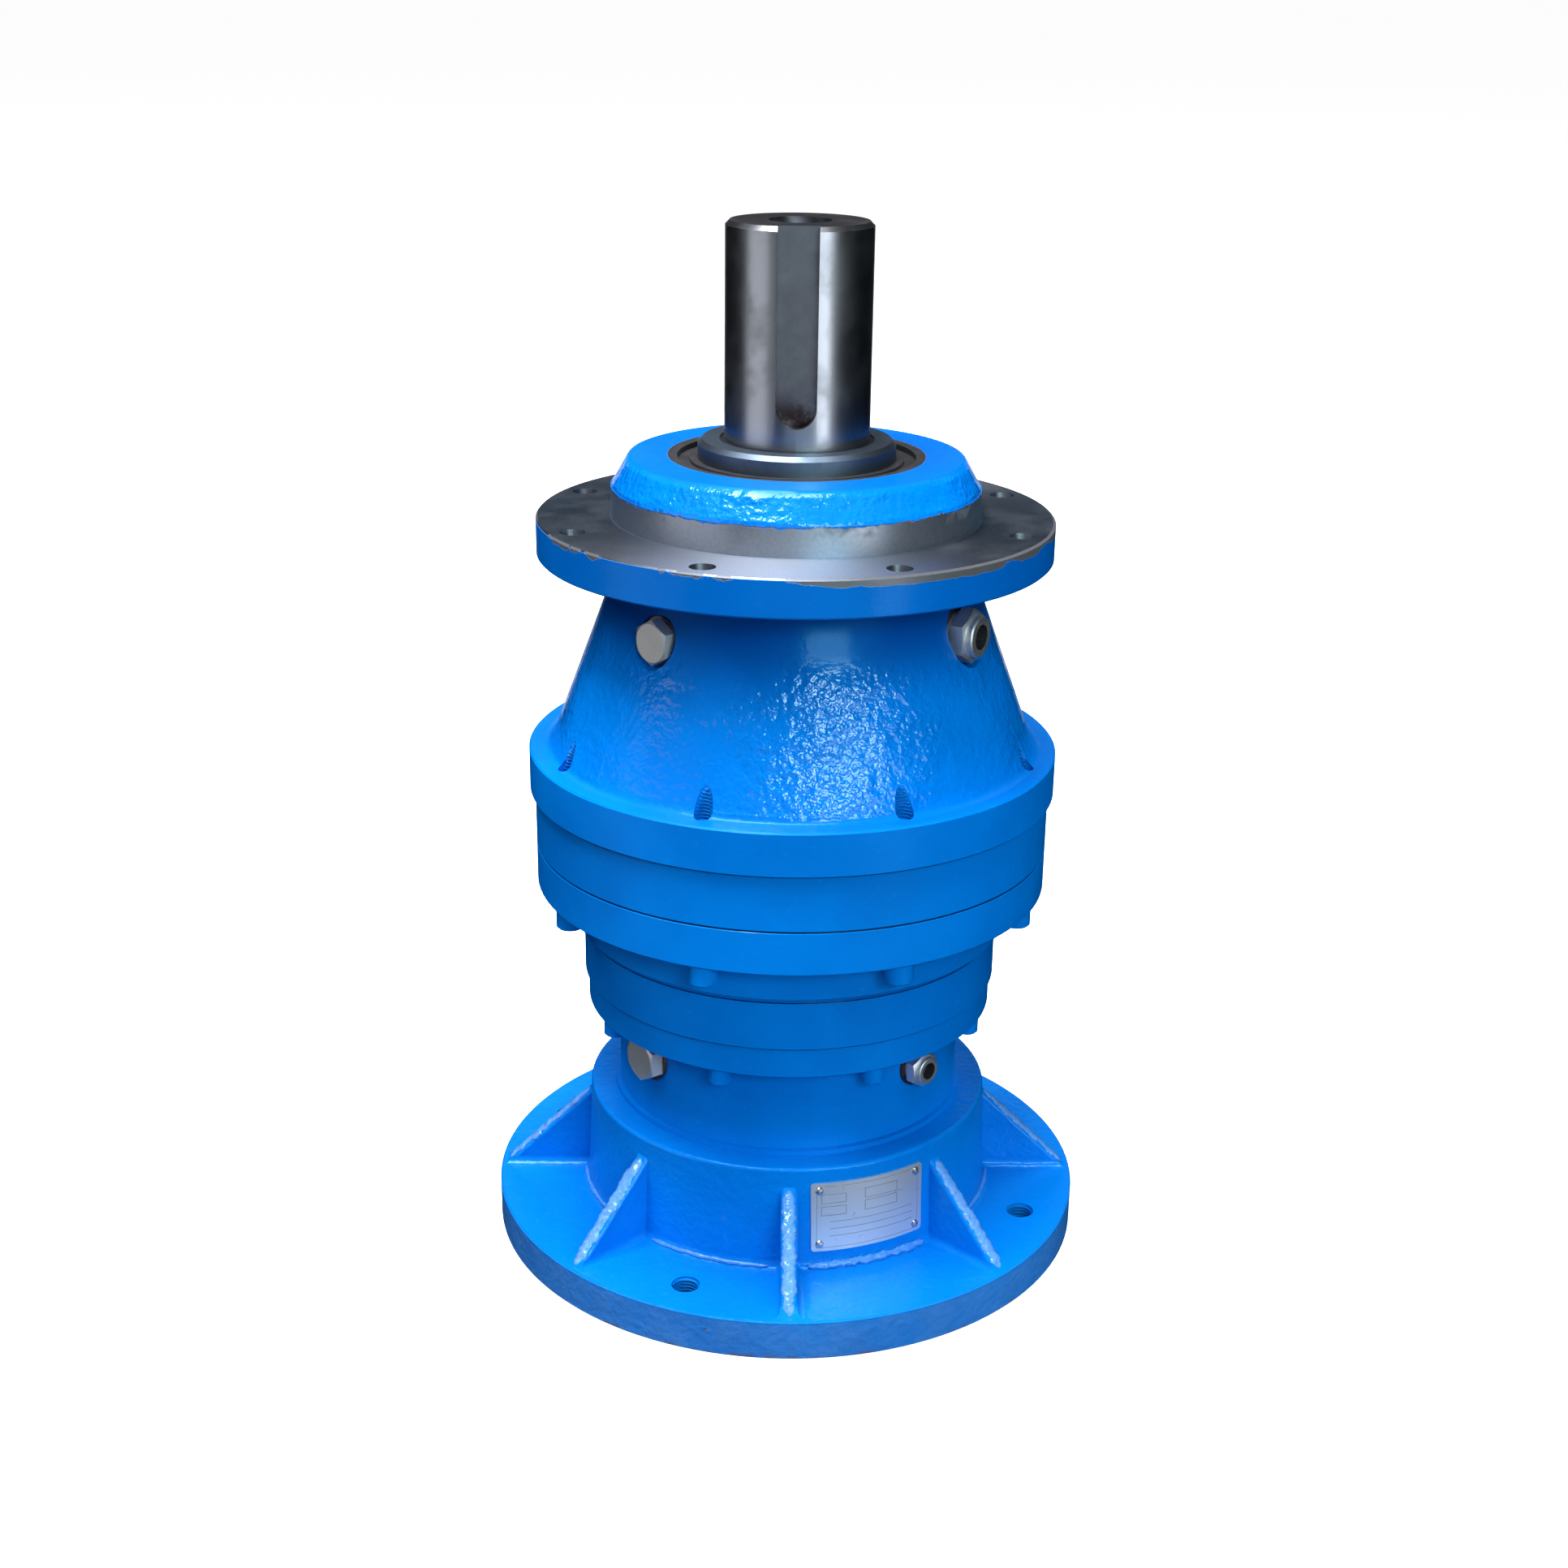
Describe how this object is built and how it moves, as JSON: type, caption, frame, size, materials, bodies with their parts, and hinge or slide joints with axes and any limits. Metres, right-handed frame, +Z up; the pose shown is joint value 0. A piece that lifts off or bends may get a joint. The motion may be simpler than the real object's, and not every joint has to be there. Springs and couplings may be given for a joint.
{
  "type": "planetary gearbox",
  "caption": "Coaxial planetary gearbox in a painted cast casing, with a keyed output shaft and a drilled output flange above a ribbed motor adapter.",
  "frame": {"origin": "centre of the motor adapter's bottom face, on the common axis", "axes": "+Z up along the common axis towards the output shaft's end, -Y towards the nameplate's side, +X to the right"},
  "size_m": [0.35, 0.35, 0.5904],
  "materials": {
    "casing_paint": "glossy blue enamel over rough castings",
    "machined_steel": "turned and ground",
    "gear_steel": "hardened and oiled",
    "bearing_steel": "ground",
    "cage_steel": "pressed sheet",
    "bronze": "turned bearing bronze",
    "black_steel": "blackened screws and clips",
    "zinc_plated": "zinc plated plugs",
    "copper": "soft sealing washers",
    "seal_rubber": "nitrile rubber",
    "plate_aluminium": "satin rolled sheet"
  },
  "bodies": {
    "casing": {"motor_adapter": "casing_paint", "input_housing": "casing_paint", "ring_gear_1": "casing_paint", "intermediate_flange": "casing_paint", "ring_gear_2": "casing_paint", "output_housing": "casing_paint", "casing_o_rings": "seal_rubber", "hex_plugs": "zinc_plated", "vent_plugs": "zinc_plated", "plug_washers": "copper", "stage_1_bolts": "casing_paint", "stage_2_bolts": "casing_paint", "adapter_screws": "black_steel", "nameplate": "plate_aluminium", "nameplate_rivets": "plate_aluminium", "carrier_bush": "bronze", "output_seal": "seal_rubber", "input_seal": "seal_rubber", "upper_bearing_outer_ring": "bearing_steel", "lower_bearing_outer_ring": "bearing_steel", "input_bearing_outer_ring": "bearing_steel"},
    "output": {"output_shaft": "machined_steel", "seal_sleeve": "machined_steel", "lock_nut": "black_steel", "lock_washer": "black_steel", "carrier_plate_2": "machined_steel", "carrier_screws_2": "black_steel", "planet_pins_2": "gear_steel", "thrust_washers_2": "bronze", "upper_bearing_inner_ring": "bearing_steel", "lower_bearing_inner_ring": "bearing_steel"},
    "upper_cage": {"upper_bearing_rollers": "bearing_steel", "upper_bearing_cage": "cage_steel"},
    "lower_cage": {"lower_bearing_rollers": "bearing_steel", "lower_bearing_cage": "cage_steel"},
    "first_carrier": {"carrier_1": "machined_steel", "carrier_plate_1": "machined_steel", "carrier_screws_1": "black_steel", "planet_pins_1": "gear_steel", "thrust_washers_1": "bronze", "sun_gear_2": "gear_steel", "sun_circlip": "black_steel"},
    "input": {"input_shaft": "gear_steel", "input_circlip": "black_steel", "input_bearing_inner_ring": "bearing_steel"},
    "input_cage": {"input_bearing_balls": "bearing_steel", "input_bearing_cage": "cage_steel"},
    "planet_1_1": {"planet_gear_1_1": "gear_steel", "planet_bush_1_1": "bronze"},
    "planet_1_2": {"planet_gear_1_2": "gear_steel", "planet_bush_1_2": "bronze"},
    "planet_1_3": {"planet_gear_1_3": "gear_steel", "planet_bush_1_3": "bronze"},
    "planet_2_1": {"planet_gear_2_1": "gear_steel", "planet_bush_2_1": "bronze"},
    "planet_2_2": {"planet_gear_2_2": "gear_steel", "planet_bush_2_2": "bronze"},
    "planet_2_3": {"planet_gear_2_3": "gear_steel", "planet_bush_2_3": "bronze"}
  },
  "joints": [
    {"name": "output_spin", "type": "hinge", "parent": "casing", "child": "output", "pos_m": [0, 0, 0.474], "axis": [0, 0, 1], "continuous": true},
    {"name": "first_carrier_spin", "type": "hinge", "parent": "casing", "child": "first_carrier", "pos_m": [0, 0, 0.198], "axis": [0, 0, 1], "continuous": true},
    {"name": "input_spin", "type": "hinge", "parent": "casing", "child": "input", "pos_m": [0, 0, 0.1], "axis": [0, 0, 1], "continuous": true},
    {"name": "planet_2_1_spin", "type": "hinge", "parent": "output", "child": "planet_2_1", "pos_m": [0.05716, 0.033, 0.259], "axis": [0, 0, 1], "continuous": true},
    {"name": "planet_2_2_spin", "type": "hinge", "parent": "output", "child": "planet_2_2", "pos_m": [-0.05716, 0.033, 0.259], "axis": [0, 0, 1], "continuous": true},
    {"name": "planet_2_3_spin", "type": "hinge", "parent": "output", "child": "planet_2_3", "pos_m": [0, -0.066, 0.259], "axis": [0, 0, 1], "continuous": true},
    {"name": "planet_1_1_spin", "type": "hinge", "parent": "first_carrier", "child": "planet_1_1", "pos_m": [0.04677, 0.027, 0.175], "axis": [0, 0, 1], "continuous": true},
    {"name": "planet_1_2_spin", "type": "hinge", "parent": "first_carrier", "child": "planet_1_2", "pos_m": [-0.04677, 0.027, 0.175], "axis": [0, 0, 1], "continuous": true},
    {"name": "planet_1_3_spin", "type": "hinge", "parent": "first_carrier", "child": "planet_1_3", "pos_m": [0, -0.054, 0.175], "axis": [0, 0, 1], "continuous": true},
    {"name": "upper_cage_spin", "type": "hinge", "parent": "casing", "child": "upper_cage", "pos_m": [0, 0, 0.418], "axis": [0, 0, 1], "continuous": true},
    {"name": "lower_cage_spin", "type": "hinge", "parent": "casing", "child": "lower_cage", "pos_m": [0, 0, 0.341], "axis": [0, 0, 1], "continuous": true},
    {"name": "input_cage_spin", "type": "hinge", "parent": "casing", "child": "input_cage", "pos_m": [0, 0, 0.093], "axis": [0, 0, 1], "continuous": true}
  ],
  "couplings": [
    {"joint": "first_carrier_spin", "follows": "output_spin", "ratio": 4.4},
    {"joint": "input_spin", "follows": "output_spin", "ratio": 17.6},
    {"joint": "planet_2_1_spin", "follows": "output_spin", "ratio": -2.8333},
    {"joint": "planet_2_2_spin", "follows": "output_spin", "ratio": -2.8333},
    {"joint": "planet_2_3_spin", "follows": "output_spin", "ratio": -2.8333},
    {"joint": "planet_1_1_spin", "follows": "output_spin", "ratio": -13.2},
    {"joint": "planet_1_2_spin", "follows": "output_spin", "ratio": -13.2},
    {"joint": "planet_1_3_spin", "follows": "output_spin", "ratio": -13.2},
    {"joint": "upper_cage_spin", "follows": "output_spin", "ratio": 0.45254},
    {"joint": "lower_cage_spin", "follows": "output_spin", "ratio": 0.44988},
    {"joint": "input_cage_spin", "follows": "output_spin", "ratio": 6.9982}
  ]
}
